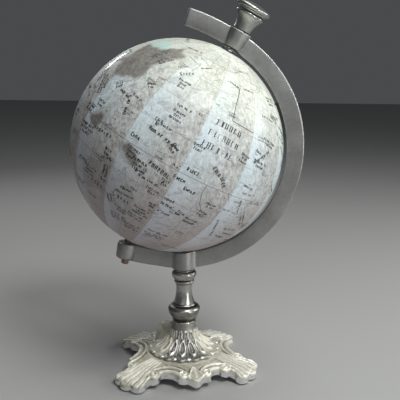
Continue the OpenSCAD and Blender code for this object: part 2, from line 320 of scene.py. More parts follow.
def surface_nets(field, lowest, size, step):
    """Closed mesh of field < 0, sampled on a regular grid and then drawn onto the surface itself."""
    low, count = np.array(lowest, float), [int(n) for n in np.ceil(np.array(size) / step)]
    axes = [low[i] + step * np.arange(count[i]) for i in range(3)]
    x, y, z = np.meshgrid(*axes, indexing="ij")
    f = field(x, y, z)
    inside = f < 0
    corner = [(i, j, k) for i in (0, 1) for j in (0, 1) for k in (0, 1)]
    n = [c - 1 for c in count]
    total = sum(inside[i:n[0] + i, j:n[1] + j, k:n[2] + k].astype(np.int8) for i, j, k in corner)
    mixed = (total > 0) & (total < 8)
    index = np.full(mixed.shape, -1)
    index[mixed] = np.arange(mixed.sum())
    cells = np.argwhere(mixed)
    place, hits = np.zeros((len(cells), 3)), np.zeros(len(cells))
    for a in corner:
        for axis in range(3):
            if a[axis]:
                continue
            b = list(a)
            b[axis] = 1
            fa = f[tuple((cells + a).T)]
            fb = f[tuple((cells + b).T)]
            cross = (fa < 0) != (fb < 0)
            t = np.where(cross, fa / np.where(cross, fa - fb, 1), 0)
            p = np.array(a) + t[:, None] * (np.array(b) - np.array(a))
            place += np.where(cross[:, None], p, 0)
            hits += cross
    verts = low + (cells + place / hits[:, None]) * step
    faces = []
    for axis in range(3):
        u, v = [i for i in range(3) if i != axis]
        sl = [slice(None)] * 3
        sl[axis] = slice(0, -1)
        a = inside[tuple(sl)]
        sl[axis] = slice(1, None)
        edge = np.argwhere(a != inside[tuple(sl)])
        eu, ev = edge[:, u], edge[:, v]
        edge = edge[(eu > 0) & (ev > 0) & (eu < count[u] - 1) & (ev < count[v] - 1)]
        first = a[tuple(edge.T)]
        quad = []
        for du, dv in ((1, 1), (0, 1), (0, 0), (1, 0)):
            c = edge.copy()
            c[:, u] -= du
            c[:, v] -= dv
            quad.append(index[tuple(c.T)])
        quad = np.stack(quad, 1)
        flip = first if axis == 1 else ~first
        quad[flip] = quad[flip][:, ::-1]
        faces.append(quad)
    for _ in range(2):
        e = step * 0.05
        value = field(*verts.T)
        rise = [field(*(verts + d).T) - field(*(verts - d).T) for d in np.eye(3) * e]
        slope = np.stack(rise, 1) / (2 * e)
        move = -value[:, None] * slope / np.maximum((slope ** 2).sum(1), 0.2)[:, None]
        verts = verts + np.clip(move, -step * 0.4, step * 0.4)
    return verts, np.concatenate(faces)


def smooth_max(a, b, k):
    """The larger of a and b, rounded over where they differ by less than k."""
    h = np.clip(0.5 + (a - b) / (2 * k), 0, 1)
    return b + (a - b) * h + k * h * (1 - h)


def smooth_min(a, b, k):
    return -smooth_max(-a, -b, k)


def step01(edge0, edge1, x):
    """Smooth step from 0 at edge0 to 1 at edge1."""
    t = np.clip((x - edge0) / (edge1 - edge0), 0, 1)
    return t * t * (3 - 2 * t)


def ridge(distance, width):
    """1 at no distance, fading to 0 over the width."""
    return np.exp(-(distance / width) ** 2)


# ---------------------------------------------------------------- materials

PLATE = plate_metal()
SKIRT = cast_metal("dark_pewter", (0.15, 0.145, 0.132), (0.40, 0.395, 0.37), (0.93, 0.925, 0.89),
                   (0.40, 0.60), chalk=True)
TURNED = cast_metal("column_pewter", (0.04, 0.037, 0.032), (0.20, 0.195, 0.18), (0.78, 0.775, 0.74),
                    (0.26, 0.44), tarnish=0.95, pit=0.00012)
ARM = brushed_metal("arm_satin", (0.29, 0.29, 0.285), (0.46, 0.46, 0.45), rough=0.44, line=0.000015)
FINIAL = brushed_metal("finial_satin", (0.34, 0.34, 0.325), (0.52, 0.52, 0.495), stretch=(3, 3, 0.3),
                       rough=0.34, line=0.00001)
ROD = brushed_metal("rod_steel", (0.34, 0.34, 0.34), (0.5, 0.5, 0.5), stretch=(1, 1, 6), rough=0.3)
COPPER = plain_stuff("dull_copper", (0.17, 0.10, 0.08), (0.36, 0.24, 0.20), 160, 0.5, Metallic=0.7)
BRASS = brushed_metal("bush_brass", (0.42, 0.31, 0.12), (0.68, 0.53, 0.26), stretch=(1, 1, 4), rough=0.3)
FELT = plain_stuff("green_felt", (0.012, 0.03, 0.02), (0.03, 0.06, 0.04), 900, 0.95, distance=0.0003)
BOARD = plain_stuff("pressed_board", (0.16, 0.11, 0.07), (0.30, 0.23, 0.15), 240, 0.85, stretch=(1, 1, 3))
NAVY = plain_stuff("navy_washer", (0.006, 0.009, 0.018), (0.03, 0.04, 0.065), 200, 0.3, Coat_Weight=0.4)
NYLON = plain_stuff("nylon", (0.66, 0.66, 0.62), (0.78, 0.78, 0.74), 180, 0.45)
RUBBER = plain_stuff("black_rubber", (0.012, 0.012, 0.012), (0.03, 0.03, 0.03), 300, 0.7)


# ---------------------------------------------------------------- cast base

FEET = [(233, 62), (340, 59), (62, 55), (145, 61)]         # direction, reach
LOBES = [(289, 49), (104, 49)]                             # the same
SMALL_BAYS = [(turn, 50.5, 11.5) for turn in (262, 311.5, 83, 125)]
BAYS = SMALL_BAYS + [(16, 52.5, 17.5), (186, 52.5, 17.5)]  # direction, reach of the centre, radius
SEAT = 12.4                                                # flat middle of the plate, under the skirt


def facing(table, x, y):
    """For each row of a table: coordinates along and across its direction, then the rest of the row."""
    for degrees, *rest in table:
        c, s = math.cos(math.radians(degrees)), math.sin(math.radians(degrees))
        yield (x * c + y * s, y * c - x * s, *rest)


def bulge(radius, centre, distance):
    """Height of a wide sphere's top at a distance from the column."""
    return centre + np.sqrt(np.maximum(radius ** 2 - distance ** 2, 1))


def plate_dome(distance):
    return np.minimum(bulge(199.5, -184.9, distance), SEAT)


def disc(u, v, cu, cv, r):
    return np.hypot(u - cu, v - cv) - r


def base_outline(x, y):
    """Distance to the scalloped outline, negative inside."""
    d = np.hypot(x, y) - 43.5
    for table, half, short in ((FEET, 12, 12), (LOBES, 8.5, 9)):
        for u, v, l in facing(table, x, y):
            d = np.minimum(d, np.maximum(np.abs(v) - half, np.maximum(u - (l - short), -u)))
    for u, v, c, r in facing(BAYS, x, y):
        d = np.maximum(d, -disc(u, v, c, 0, r))
    for u, v, l in facing(FEET, x, y):
        toes = disc(u, v, l - 5.5, 0, 5.5)
        for s in (-1, 1):
            toes = smooth_min(toes, disc(u, v, l - 7.6, s * 8.4, 5.2), 0.5)
            toes = smooth_min(toes, disc(u, v, l - 20, s * 11.6, 4.4), 0.5)
        toes = np.minimum(toes, np.maximum(np.abs(v) - 11.6, np.abs(u - (l - 15)) - 7))
        d = smooth_min(d, toes, 0.8)
    for u, v, l in facing(LOBES, x, y):
        point = smooth_max((np.abs(u - (l - 6.7)) + np.abs(v) - 6.65) / math.sqrt(2), u - (l - 1.6), 1.6)
        for s in (-1, 1):
            point = smooth_min(point, disc(u, v, l - 9.6, s * 8.4, 3.7), 0.4)
        d = smooth_min(d, point, 0.5)
    return d


def volute(u, v, cu, cv, size, hand):
    """Height and reach of a scroll's curl about a point."""
    q = np.hypot(u - cu, v - cv)
    turn = np.arctan2(v - cv, -(u - cu)) * hand / (2 * np.pi)
    return 0.5 + 0.5 * np.cos(2 * np.pi * (q / (size * 0.52) - turn)), step01(size, size * 0.78, q)


def base_relief(x, y, d):
    """Height of the cast ornament over the plate's dome; d is the distance to the outline."""
    h = 0.45 * ridge(d + 1.1, 0.9)                                     # rounded rim
    for u, v, c, r in facing(BAYS, x, y):                              # double C-scroll round each bay
        e = np.hypot(u - c, v) - r
        along = step01(c + 4, c - 3, u)
        h = h + along * (0.50 * ridge(e - 2.1, 1.1) + 0.75 * ridge(e - 6.2, 0.95))
        h = h - along * (0.60 * ridge(e - 4.3, 0.65) + 0.85 * ridge(e - 7.8, 0.7))
    for (a, _), (u, v, l) in zip(FEET, facing(FEET, x, y)):            # flutes fanning out over each foot
        spread = 2.0 + 0.065 * np.clip(u - 24, 0, 40) + 1.0 * step01(l - 20, l - 6, u)
        wave = v / spread + 0.10 * np.sin(u * 0.35 + a) + 0.5
        zone = step01(24, 32, u) * step01(l - 0.5, l - 5.0, u) * step01(2.9, 2.2, np.abs(v) / spread)
        crease = 1 - step01(0.0, 0.20, np.abs(wave - np.round(wave)))
        h = h * (1 - 0.75 * zone) + zone * (0.40 * np.abs(np.sin(np.pi * wave)) + 0.35 - 0.95 * crease)
        for s in (-1, 1):
            scroll, near = volute(u, v, l - 19.6, s * 11.0, 4.4, s)
            h = h * (1 - near) + near * (0.1 + 0.85 * scroll)
    for u, v, l in facing(LOBES, x, y):                                # leaf and two volutes on each lobe
        width = 0.05 + 5.2 * np.clip((u - 32.5) / 11, 0, 1) ** 0.75
        reach = step01(31.5, 33.5, u) * step01(l - 0.2, l - 2.2, u)
        edge = np.abs(v) - width
        leaf = step01(0.6, -0.2, edge) * reach
        h = h * (1 - leaf) + leaf * (0.15 + 0.65 * ridge(v, 1.1) * step01(l - 3, l - 6, u))
        h = h + reach * (0.9 * ridge(edge, 0.75) - 0.8 * ridge(edge - 1.3, 0.6))
        for s in (-1, 1):
            scroll, near = volute(u, v, l - 10.0, s * 8.3, 4.4, s)
            h = h * (1 - near) + near * (0.1 + 0.9 * scroll)
    h = h + 0.10 * np.sin(x * 0.9 + 1.3) * np.sin(y * 0.8) + 0.06 * np.sin(x * 2.3 - y * 1.7)
    ring = step01(29.5, 27.5, np.hypot(x, y))                          # plain under the skirt
    return h * (1 - ring) + 0.35 * ring


def base_field(x, y, z):
    """The cast plate: negative inside, with its hollow underside, pad seats and bore."""
    rr = np.hypot(x, y)
    d = base_outline(x, y)
    top = plate_dome(rr) + base_relief(x, y, d)
    under = np.maximum(bulge(150.9, -140.3, rr), 1.0)
    f = smooth_max(z - top, d, 0.9)
    f = smooth_max(f, under - z, 0.5)
    for u, v, l in facing(FEET, x, y):                                 # seats for the felt pads
        f = np.minimum(f, np.maximum(disc(u, v, l - 9, 0, 4.6), np.abs(z - 3) - 2))
    return np.maximum(f, BORE - rr)


step = 0.5
verts, faces = surface_nets(base_field, (-66, -66, -0.6), (130, 132, 16.5), step)
x, y, z = verts.T
relief = base_relief(x, y, base_outline(x, y))
wear = np.clip(0.52 + 0.55 * relief, 0, 1)
wear = np.clip(wear + 0.0022 * (x + 0.5 * y), 0, 1)                      # painted light: lighter towards the right, where the light falls brighter
side = step01(0.9, 1.9, plate_dome(np.hypot(x, y)) + relief - z)         # the vertical edge and the underside
piece("base_plate_cast", verts, faces, "stand", "plate_metal", PLATE, ["base_plate"], column_frame,
      wear=wear * (1 - side) + 0.7 * side, side=side)


# ---------------------------------------------------------------- petal skirt

PETALS = 15
FRONT_PETAL = math.radians(273)
UNDER, RIM, NECK = 12.9, 15.0, 34.4                         # heights
RIM_RADIUS, NECK_RADIUS = 26, 8.8
FLARE = ((RIM_RADIUS - NECK_RADIUS) ** 2 + (NECK - RIM) ** 2) / (2 * (RIM_RADIUS - NECK_RADIUS))


def skirt_profile(t):
    """Radius, height and outward normal on the skirt's flare, t from 0 at the rim to 1 at the neck."""
    z = RIM + (NECK - RIM) * t
    nz = NECK - z
    nr = math.sqrt(max(FLARE ** 2 - nz ** 2, 0))
    return NECK_RADIUS + FLARE - nr, z, nr / FLARE, nz / FLARE


def petal_relief(u, t, r):
    """Relief of one petal: u is the sideways distance from its middle in mm, t the height along the flare."""
    half = r * math.pi / PETALS                                     # half the petal's width here
    side = np.abs(u) / half
    s = t * 27.0                                                    # mm along the flare
    # lower petal: ribs between petals, a groove inside them, and a raised teardrop outline round a hollow
    body = step01(0.62, 0.54, t)
    rib = ridge(side - 1.0, 0.15) * step01(0.0, 0.08, t)
    groove = ridge(side - 0.78, 0.16) * step01(0.04, 0.10, t)
    drop_w = np.clip(3.0 * (1 - np.clip((s - 4.1) / 7.6, 0, 1) ** 1.5), 0.05, 0.62 * half)
    drop = np.hypot(np.abs(u), np.maximum(4.1 - s, 0) * 1.3) - drop_w
    tear = ridge(drop, 0.75) * step01(13.2, 12.4, s) * step01(0.02, 0.05, t)
    hollow = step01(-0.40, -1.0, drop)
    core = ridge(u, 0.5) * step01(3.0, 4.2, s) * step01(8.2, 6.0, s)
    low = body * (0.45 * rib * step01(12, 7, s) - 0.45 * groove + 1.05 * tear - 0.35 * hollow + 0.5 * core)
    # upper arches with a dark slot, set half a petal on
    across = np.abs(half - np.abs(u)) / half
    top = step01(0.46, 0.56, t) * step01(0.90, 0.78, t)
    arch = ridge(across - 0.46, 0.24) * step01(0.80, 0.70, t)
    arch = arch + ridge(t - 0.74, 0.05) * step01(0.52, 0.42, across)
    slot = step01(0.32, 0.16, across) * step01(0.72, 0.67, t) * step01(0.56, 0.62, t)
    return low + top * (0.6 * arch - 0.45 * slot)


cols, rows = ((720, 104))
theta = np.arange(cols) * 2 * math.pi / cols
degrees = np.degrees(theta)
cell = 2 * math.pi / PETALS
lift = step01(117, 126, degrees) * step01(168, 158, degrees)            # the raised leaf at the left back
from_front = np.abs((degrees - 279 + 180) % 360 - 180)
rings, wear, chalk = [], [], []
for j in range(rows + 1):
    t = j / rows
    r, z, nr, nz = skirt_profile(t)
    u = ((theta - FRONT_PETAL + cell / 2) % cell - cell / 2) * r
    h = petal_relief(u, np.full(cols, t), r) * (1 - 0.35 * t)
    stand = lift * 10.5 * math.sin(math.pi * t ** 0.52) ** 0.9 if 0 < t < 0.99 else lift * 0
    scallop = 1.1 * np.cos(PETALS * (theta - FRONT_PETAL)) * (1 - step01(0.0, 0.16, t))
    rad = r + nr * (h + stand) + scallop
    rings.append(np.stack([rad * np.cos(theta), rad * np.sin(theta), z + nz * (h + stand)], 1))
    # painted reflection: the raised leaf is painted lighter, and the skirt is painted cream away from its
    # front, where its sides reflect bright light
    wear.append(np.clip(0.40 + 0.56 * h * (1 - 0.45 * t) - 0.06 * step01(0.6, 0.9, t) + 0.25 * lift, 0, 1))
    chalk.append(np.maximum(step01(30, 52, from_front) * step01(0.80, 0.62, t), lift))


def rings_from(edge, *shrink_and_height):
    """Copies of an edge, each drawn in towards the axis by a factor and put at a height."""
    return [edge * (f, f, 0) + (0, 0, q) for f, q in shrink_and_height]


under = rings_from(rings[0], (0.3, 14.2), (0.5, 14.2), (0.80, 13.6), (0.83, UNDER), (0.93, UNDER))
rim = rings_from(rings[0], (0.975, 13.15), (0.999, 13.7), (1.004, 14.3))
bore = rings_from(rings[-1], (0.85, NECK), (0.42, NECK), (0.39, 30), (0.39, 16))
loop = under + rim + rings + bore
flat = np.ones(cols)
wear = [flat * 0.3] * len(under) + [flat * 0.55] * len(rim) + wear + [flat * 0.4] * len(bore)
chalk = [chalk[0]] * len(under + rim) + chalk + [flat * 0] * len(bore)
piece("petal_skirt_cast", np.concatenate(loop), hoop(len(loop), cols), "stand", "skirt_metal", SKIRT,
      ["petal_skirt"], column_frame, wear=np.concatenate(wear), chalk=np.concatenate(chalk))

# beads along the skirt's rim, one between each two petals
arc = [(math.cos(a), math.sin(a)) for a in np.radians((-60, -30, 0, 30, 60))]
ball, ball_faces = lathe([(0, -1), *arc, (0, 1)], 16)
beads, faces = [], []
for k in range(PETALS):
    a = FRONT_PETAL + (k + 0.5) * cell
    x, y, z = (ball * (1.5, 2.0, 1.15) + (25.4, 0, 14.9)).T
    faces += [[i + k * len(ball) for i in face] for face in ball_faces]
    beads.append(np.stack([x * math.cos(a) - y * math.sin(a), x * math.sin(a) + y * math.cos(a), z], 1))
verts = np.concatenate(beads)
piece("skirt_beads", verts, faces, "stand", "skirt_metal", SKIRT, (), column_frame,
      wear=np.full(len(verts), 0.95), chalk=np.zeros(len(verts)))


# ---------------------------------------------------------------- column

def turned_piece(name, outline, nodes, seed, body="stand", slot="turned_metal", material=None, place=None,
                 wobble=0.07, dark=()):
    """A lathe piece, on the column unless told otherwise; dark holds (height, width) of darker bands:
    tarnished lines, and painted shade under the bulb.
    """
    verts, faces = lathe(outline, 128, wobble, seed)
    wear = np.full(len(verts), 0.62)
    for level, width in dark:
        wear -= 0.55 * ridge(verts[:, 2] - level, width)
    piece(name, verts, faces, body, slot, material or TURNED, nodes, place or column_frame,
          wear=np.clip(wear, 0, 1))


RING_TOP, BULB_TOP, SHAFT_TOP, HEAD_TOP = 36.6, 48.5, 68.3, 76.2

ring = fillets([(7.2, NECK, 0), (8.7, 34.45, 0.5), (9.0, 35.5, 0.9), (8.6, 36.55, 0.5), (7.4, RING_TOP, 0)],
               False)
turned_piece("column_ring_turned", [(BORE, NECK), *ring, (BORE, RING_TOP)], ["column_ring"], 1)

cup = spline([(8.2, 36.7), (8.9, 38.2), (10.3, 40.6), (11.5, 42.9), (11.75, 43.8)], 5)
roll = spline([(11.65, 44.1), (12.05, 44.7), (12.1, 45.6), (11.7, 46.6), (10.7, 47.7), (9.4, 48.3),
               (9.0, BULB_TOP)], 5)
# the band at 38 mm is painted shade on the bulb's downward-facing cup; the one at 48.4 mm is a tarnished
# joint
turned_piece("column_bulb_turned", [(BORE, RING_TOP), (7.6, RING_TOP), *cup, *roll, (BORE, BULB_TOP)],
             ["column_bulb"], 2, dark=((38.0, 1.2), (48.4, 0.3)))

foot = spline([(8.55, 48.7), (8.7, 49.3), (8.2, 50.0)], 4)
waist = spline([(7.95, 50.3), (7.35, 52.2), (6.45, 55.6), (5.9, 59.0), (5.85, 61.4), (6.2, 64.2),
                (6.6, 65.6)], 6)
collar = spline([(6.75, 65.75), (7.35, 66.2), (7.5, 66.85), (7.3, 67.5), (6.75, 67.9)], 4)
shaft = [(BORE, BULB_TOP), (8.2, BULB_TOP), *foot, *waist, *collar, (6.7, SHAFT_TOP), (BORE, SHAFT_TOP)]
turned_piece("column_shaft_turned", shaft, ["column_shaft"], 3,
             dark=((50.1, 0.3), (65.6, 0.25), (68.2, 0.25)))

knot = spline([(7.3, 68.4), (8.1, 69.4), (9.0, 71.2), (9.25, 72.7), (8.95, 74.0), (8.1, 74.9), (7.5, 75.2)])
lip = fillets([(7.45, 75.25, 0), (7.75, 75.4, 0.2), (7.75, HEAD_TOP, 0.25), (7.2, HEAD_TOP, 0)], False, 3)
turned_piece("column_head_turned", [(BORE, SHAFT_TOP), (6.9, SHAFT_TOP), *knot, *lip, (BORE, HEAD_TOP)],
             ["column_head"], 4, dark=((75.2, 0.3), (68.4, 0.35)))


# ---------------------------------------------------------------- arm

ARM_W, ARM_T = 12.5, 6.0


def direction(degrees):
    return np.array((math.cos(math.radians(degrees)), math.sin(math.radians(degrees))))


def arm_path():
    """Inner edge of the arm with its outward direction, from the lower end to the upper tip."""
    g = GLOBE[[0, 2]]
    low_c = g - 190 * direction(-95)
    up_c = g - 52 * direction(50)
    arcs = ((low_c, 268, -101.7, -95, 12), (g, 78, -95, 50, 110), (up_c, 130, 50, 73, 22))
    out = []
    for centre, radius, start, end, count in arcs:
        for k in range(1 if out else 0, count + 1):              # the arcs share their joints
            e = direction(start + (end - start) * k / count)
            out.append((centre + radius * e, e))
    return out


def sweep_bar(path, width, thick, corner, round_over):
    """Rounded bar along a path in the XZ plane, with its two ends rounded over."""
    outline = np.array(fillets([(0, -thick / 2, corner), (width, -thick / 2, corner),
                                (width, thick / 2, corner), (0, thick / 2, corner)], True, 5))
    mid = np.array((width / 2, 0))

    def end(tip, neighbour):
        """Stations from the tip inwards: place, outward direction and how far the outline shrinks."""
        inwards = (neighbour[0] - tip[0]) / np.linalg.norm(neighbour[0] - tip[0])
        return [(tip[0] + inwards * round_over * (1 - math.sin(a)), tip[1], round_over * (1 - math.cos(a)))
                for a in np.radians((90, 66, 42, 20))]

    def clear_of(p, q):
        return np.linalg.norm(p - q[0]) > round_over

    body = [(p, e, 0.0) for p, e in path if clear_of(p, path[0]) and clear_of(p, path[-1])]
    stations = end(path[0], path[1]) + body + end(path[-1], path[-2])[::-1]
    verts = []
    for p, e, inset in stations:
        shape = mid + (outline - mid) * (1 - 2 * inset / np.array((width, thick)))
        verts += [(p[0] + e[0] * w, t, p[1] + e[1] * w) for w, t in shape]
    m = len(outline)
    faces = []
    for j in range(len(stations) - 1):
        for k in range(m):
            q = (k + 1) % m
            faces.append((j * m + k, j * m + q, (j + 1) * m + q, (j + 1) * m + k))
    faces.append(list(range(m))[::-1])
    faces.append([(len(stations) - 1) * m + k for k in range(m)])
    return np.array(verts), faces


verts, faces = sweep_bar(arm_path(), ARM_W, ARM_T, 0.95, 1.5)
piece("arm_bar", verts, faces, "arm", "arm_metal", ARM, ["arm"], sharp=50)

# post boss under the arm, blended into the bar with a wide fillet; its top follows the ball
post_x, post_z = COLUMN_X - GLOBE[0], GLOBE[2]


def post_field(x, y, z):
    """Bar and upright boss melted together, in the column's frame."""
    reach = np.hypot(x + post_x, z - post_z)
    bar = np.maximum(np.abs(reach - 84.25) - 6.2, np.abs(y) - 2.95)
    boss = np.hypot(x, y) - 8
    body = smooth_min(bar, boss, 2.6)
    ends = np.maximum(np.abs(x) - 15.5, 76.5 - z)
    roof = 78.15 - np.sqrt((x + post_x) ** 2 + y ** 2 + (z - post_z) ** 2)
    return smooth_max(smooth_max(body, ends, 0.5), roof, 0.3)


step = 0.5
verts, faces = surface_nets(post_field, (-17, -10, 75.5), (34, 20, 17), step)
piece("arm_post_boss", verts, faces, "arm", "arm_metal", ARM, ["arm"], column_frame)

top_boss = fillets([(2.1, 79.6, 0), (6.85, 79.6, 0.4), (8.5, 92.0, 0.6), (2.1, 92.0, 0)], True, 4)
low_boss = fillets([(2.66, -19.4, 0), (7.5, -19.4, 1.6), (7.5, -7.4, 0.9), (2.66, -7.4, 0)], True, 6)
for name, outline, place in (("arm_top_boss", top_boss, axis_frame), ("arm_low_boss", low_boss, screw_frame)):
    piece(name, *lathe(outline), "arm", "arm_metal", ARM, ["arm"], place, sharp=60)


# ---------------------------------------------------------------- finial and washer

stem = fillets([(5.6, 92.9, 0), (6.25, 92.95, 0.3), (6.3, 94.0, 0)], False, 4)
trumpet = spline([(6.35, 94.4), (6.6, 96.0), (7.15, 98.2), (8.0, 100.4), (9.0, 102.2), (9.55, 103.0)])
bead = spline([(9.6, 103.15), (10.15, 103.6), (10.3, 104.3), (10.0, 105.0), (9.4, 105.25)], 5)
turned_piece("finial_knob_turned", [(2.02, 92.9), *stem, *trumpet, *bead, (2.02, 105.26)], ["finial_knob"], 5,
             "finial", "finial_metal", FINIAL, axis_frame, 0.0)

shoulder = fillets([(10.4, 106.2, 0.2), (10.5, 107.2, 0.2), (11.3, 107.3, 0)], False, 3)
rim = spline([(11.4, 107.35), (12.2, 107.7), (12.8, 108.6), (12.65, 109.7), (11.7, 110.5)], 5)
crown = spline([(11.2, 110.75), (9.4, 111.25), (6.4, 111.9), (3.0, 112.45), (0, 112.6)], 5)
turned_piece("finial_cap_turned", [(0, 106.16), (9.6, 106.16), *shoulder, *rim, *crown], ["finial_cap"], 6,
             "finial", "finial_metal", FINIAL, axis_frame, 0.0)

top = fillets([(4.9, 77.0, 0), (5.3, 77.35, 0.2), (7.0, 77.35, 0.3), (7.4, 76.6, 0.3), (7.4, 75.95, 0)],
              False)
under = [(r, math.sqrt((R + 0.05) ** 2 - r * r)) for r in (7.3, 6.2, 5.0, 3.3)]      # just clear of the ball
turned_piece("pole_washer_moulded", [(3.3, 77.0), *top, *under], ["pole_washer"], 7,
             "globe", "washer_black", NAVY, axis_frame, 0.0)

for node, material in (
        ("foot_pads", FELT), ("tie_rod", ROD), ("base_washer", ROD), ("base_nut", ROD), ("north_pin", ROD),
        ("south_screw", COPPER), ("globe_north", BOARD), ("globe_south", BOARD), ("joint_band", BOARD),
        ("north_bush", BRASS), ("south_bush", BRASS), ("north_spacer", NYLON), ("knob_washer", RUBBER)):
    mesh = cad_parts[node].data
    mesh.materials.clear()
    mesh.materials.append(material)


# ---------------------------------------------------------------- printed ball

def toward(lat, lon):
    """Direction on the ball, in its own frame, of a place on the map."""
    a, b = np.radians(np.asarray(lon, float) - 244.56), np.radians(np.asarray(lat, float))
    return np.stack(np.broadcast_arrays(np.cos(b) * np.cos(a), np.cos(b) * np.sin(a), np.sin(b)), -1)


# Coasts drawn as (longitude, latitude) corners; roughen() gives them their small shapes
LANDS = [
    [(-9, 37), (-9, 43), (-2, 43), (-4, 48), (2, 51), (8, 54), (11, 57), (12, 54), (20, 55), (24, 59),
     (30, 60), (22, 62), (25, 65), (18, 62), (17, 57), (12, 56), (10, 59), (5, 60), (12, 66), (22, 70),
     (32, 70), (41, 67), (44, 68), (60, 69), (70, 73), (80, 72), (92, 76), (104, 77), (114, 74), (128, 72),
     (142, 72), (160, 70), (173, 69), (190, 66), (181, 64), (176, 62), (170, 60), (163, 59), (162, 55),
     (157, 51), (156, 57), (161, 61), (154, 59), (143, 59), (136, 54), (141, 52), (140, 48), (134, 43),
     (129, 41), (127, 39), (129, 36), (126, 34), (126, 38), (121, 39), (118, 39), (122, 37), (119, 35),
     (122, 31), (120, 26), (114, 22), (109, 21), (106, 19), (109, 12), (105, 9), (101, 13), (100, 8),
     (104, 2), (101, 3), (98, 9), (98, 15), (94, 17), (91, 22), (87, 21), (80, 15), (80, 10), (77, 8),
     (73, 18), (72, 21), (67, 25), (57, 26), (50, 30), (48, 30), (51, 25), (56, 25), (59, 22), (54, 17),
     (45, 13), (42, 15), (35, 28), (35, 33), (36, 36), (27, 37), (27, 41), (35, 42), (41, 42), (38, 47),
     (31, 46), (28, 42), (23, 37), (19, 42), (13, 45), (18, 40), (16, 38), (9, 44), (3, 43), (0, 39),
     (-3, 37)],
    [(-6, 36), (10, 37), (11, 33), (20, 31), (32, 31), (38, 20), (43, 12), (51, 12), (41, -2), (40, -15),
     (35, -24), (32, -29), (26, -34), (19, -34), (12, -18), (13, -6), (9, 1), (9, 4), (-7, 5), (-16, 12),
     (-17, 21), (-10, 30)],
    [(114, -22), (122, -18), (129, -15), (131, -12), (136, -12), (136, -15), (140, -17), (142, -11),
     (146, -19), (152, -25), (153, -31), (150, -37), (145, -39), (140, -38), (137, -33), (132, -32),
     (124, -33), (116, -35), (114, -28)],
    [(192, 66), (194, 60), (203, 58), (197, 55), (207, 59), (215, 61), (222, 59), (231, 53), (236, 47),
     (236, 40), (241, 34), (248, 26), (254, 20), (262, 16), (268, 14), (275, 10), (282, 8), (278, 10),
     (272, 16), (273, 21), (266, 18), (263, 26), (271, 30), (278, 27), (279, 31), (286, 39), (293, 44),
     (300, 47), (292, 51), (304, 53), (298, 59), (283, 61), (281, 54), (266, 58), (272, 65), (258, 68),
     (232, 70), (204, 71)],
    [(282, 8), (290, 12), (300, 8), (309, 2), (325, -7), (320, -20), (312, -27), (302, -36), (295, -42),
     (291, -52), (286, -50), (287, -32), (289, -18), (279, -5), (280, 2)],
    [(303, 60), (317, 60), (336, 69), (341, 77), (330, 83), (300, 81), (290, 77), (306, 70)],
    [(131, -1), (135, -4), (138, -2), (144, -4), (147, -7), (151, -10), (146, -8), (142, -9), (138, -8),
     (134, -4)],
    [(109, 1), (112, 3), (116, 7), (119, 5), (117, 1), (116, -4), (111, -3)],
    [(95, 6), (99, 3), (104, -1), (106, -6), (102, -4), (97, 2)],
    [(105, -6), (110, -7), (115, -8), (108, -8)],
    [(119, -5), (120, 1), (125, 2), (121, 0), (123, -4), (121, -3)],
    [(120, 18), (122, 18), (124, 13), (121, 14)],
    [(122, 8), (126, 9), (126, 6), (123, 7)],
    [(130, 31), (131, 34), (136, 36), (140, 41), (142, 39), (140, 35), (136, 34), (132, 34), (132, 31)],
    [(140, 42), (142, 45), (145, 43), (141, 42)],
    [(142, 46), (143, 54), (144, 49)],
    [(173, -41), (175, -37), (178, -38), (175, -42)],
    [(167, -46), (172, -41), (174, -42), (171, -46)],
    [(145, -41), (148, -41), (147, -44)],
    [(120, 22), (122, 25), (121, 22)],
    [(109, 19), (111, 20), (110, 18)],
    [(148, -6), (152, -4), (150, -6)],
    [(155, -6), (161, -10), (158, -8)],
    [(164, -20), (167, -22), (165, -21)],
    [(43, -25), (44, -16), (50, -14), (47, -25)],
    [(-5, 50), (-3, 54), (-5, 58), (0, 53), (1, 51)],
    [(-24, 65), (-16, 66), (-15, 64), (-20, 63)],
    [(80, 9), (80, 6), (82, 7)],
]


def roughen(corners, closed=True, least=1.3):
    """Breaks each long edge in two, off to one side, until the line looks like a coast."""
    line = list(corners) + ([corners[0]] if closed else [])
    while True:
        out, split = [line[0]], False
        for (x0, y0), (x1, y1) in zip(line, line[1:]):
            length = math.hypot((x1 - x0) * math.cos(math.radians((y0 + y1) / 2)), y1 - y0)
            if length > least:
                off = rng.uniform(-0.17, 0.17)
                out.append(((x0 + x1) / 2 - (y1 - y0) * off, (y0 + y1) / 2 + (x1 - x0) * off))
                split = True
            out.append((x1, y1))
        line = out
        if not split:
            return line


# Countries printed in their own tint, as (latitude, longitude) corners
TINTED = [[(25, 84), (32, 95), (39, 93), (47, 91), (50, 108), (58, 118), (53, 131), (47, 126), (41, 122),
           (36, 119), (31, 121), (27, 119), (23, 110), (22, 102), (28, 98), (27, 90)],
          [(-1, 108), (4, 115), (4, 118), (-1, 118), (-4, 115), (-3, 110)],
          [(-2, 133), (-1, 138), (-4, 144), (-8, 148), (-9, 143), (-6, 138)]]
TEAL = [[(47, 88), (50, 87), (56, 96), (54, 110), (50, 112), (47, 106), (46, 97)]]


def southern_coast(lon):
    return -70 - 3.5 * np.sin(np.radians(lon * 2 + 40))


coasts = [roughen(land) for land in LANDS]
tinted = [roughen([(lon, lat) for lat, lon in shape]) for shape in TINTED]
teal = [roughen([(lon, lat) for lat, lon in shape]) for shape in TEAL]
coasts.append([(lon, southern_coast(lon) - 2 * math.sin(math.radians(lon * 5))) for lon in range(0, 361, 2)])


